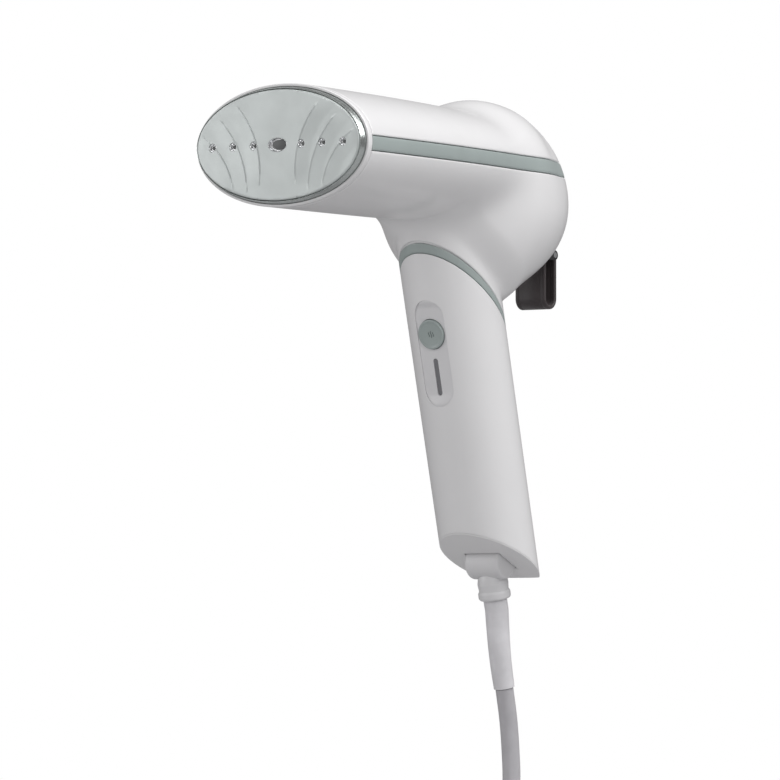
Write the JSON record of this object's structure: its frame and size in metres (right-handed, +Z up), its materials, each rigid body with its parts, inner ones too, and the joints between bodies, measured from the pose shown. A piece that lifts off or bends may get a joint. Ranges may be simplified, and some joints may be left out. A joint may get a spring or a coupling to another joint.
{
  "type": "handheld garment steamer",
  "caption": "Handheld garment steamer with an oval steam plate, folding head, pull-out water tank, thumb button and a swivelling mains cord.",
  "frame": {"origin": "middle of the grip, on the handle's axis, where a hand holds it", "axes": "+Z up with the barrel level, -Y the way the steam plate faces, X = 0 the plane of symmetry"},
  "size_m": [0.1624, 0.1945, 0.3489],
  "materials": {
    "white_plastic": "satin white moulded",
    "pale_plastic": "fine matte grey-white",
    "sage_plastic": "satin grey-green moulded",
    "plate_metal": "satin ceramic-coated",
    "polished_steel": "polished",
    "cast_aluminium": "as cast",
    "fuse_copper": "satin",
    "silicone": "matte",
    "grey_nylon": "moulded",
    "black_plastic": "moulded",
    "dark_strap": "matte",
    "tank_plastic": "clear tinted",
    "light_bar": "smoked",
    "circuit_board": "solder mask",
    "cord_grey": "matte PVC"
  },
  "bodies": {
    "handle": {"neck_ring": "sage_plastic", "neck_bearing": "grey_nylon", "wire_harness": "black_plastic", "handle_shell": "white_plastic", "control_panel": "pale_plastic", "light_guide": "light_bar", "micro_switch": "black_plastic", "indicator_led": "pale_plastic", "control_board": "circuit_board", "inner_carrier": "grey_nylon", "board_screw_upper": "polished_steel", "board_screw_lower": "polished_steel", "bottom_cap": "white_plastic", "terminal_block": "black_plastic", "cord_drop": "cord_grey", "cord_run": "cord_grey", "cord_coil": "cord_grey", "cord_tie": "black_plastic", "cord_tail": "cord_grey", "plug_body": "cord_grey", "plug_pin_left": "polished_steel", "plug_pin_right": "polished_steel"},
    "head": {"steam_plate": "plate_metal", "plate_rim": "polished_steel", "front_bezel": "white_plastic", "plate_gasket": "silicone", "upper_housing": "white_plastic", "lower_housing": "white_plastic", "side_band_right": "sage_plastic", "side_band_left": "sage_plastic", "boiler_block": "cast_aluminium", "heating_element": "polished_steel", "thermostat": "black_plastic", "thermal_fuse": "fuse_copper", "water_pump": "black_plastic", "steam_hose": "silicone", "inlet_hose": "silicone", "tank_socket": "grey_nylon", "loop_pin": "polished_steel", "neck_spindle": "grey_nylon", "retaining_clip": "polished_steel"},
    "tank": {"rear_cap": "white_plastic", "water_tank": "tank_plastic", "tank_valve": "silicone"},
    "loop": {"hanging_loop": "dark_strap"},
    "button": {"steam_button": "sage_plastic"},
    "swivel": {"cord_swivel": "pale_plastic", "strain_relief": "pale_plastic"}
  },
  "joints": [
    {"name": "neck_twist", "type": "hinge", "parent": "handle", "child": "head", "pos_m": [0, -0.01364, 0.05596], "axis": [0, 0.6129, 0.7902], "range_deg": [0, 180]},
    {"name": "tank_pull", "type": "slide", "parent": "head", "child": "tank", "axis": [0, 0.8829, 0.4695], "range_m": [0, 0.034]},
    {"name": "loop_swing", "type": "hinge", "parent": "head", "child": "loop", "pos_m": [0, 0.049, 0.079], "axis": [1, 0, 0], "range_deg": [0, 60]},
    {"name": "button_press", "type": "slide", "parent": "handle", "child": "button", "axis": [0, 0.9715, 0.2368], "range_m": [0, 0.0012], "stiffness_N_per_m": 1500},
    {"name": "cord_swivel_turn", "type": "hinge", "parent": "handle", "child": "swivel", "pos_m": [0, 0.01381, -0.05664], "axis": [1, 0, 0], "range_deg": [-45, 8], "deforming": ["cord_drop"]}
  ]
}
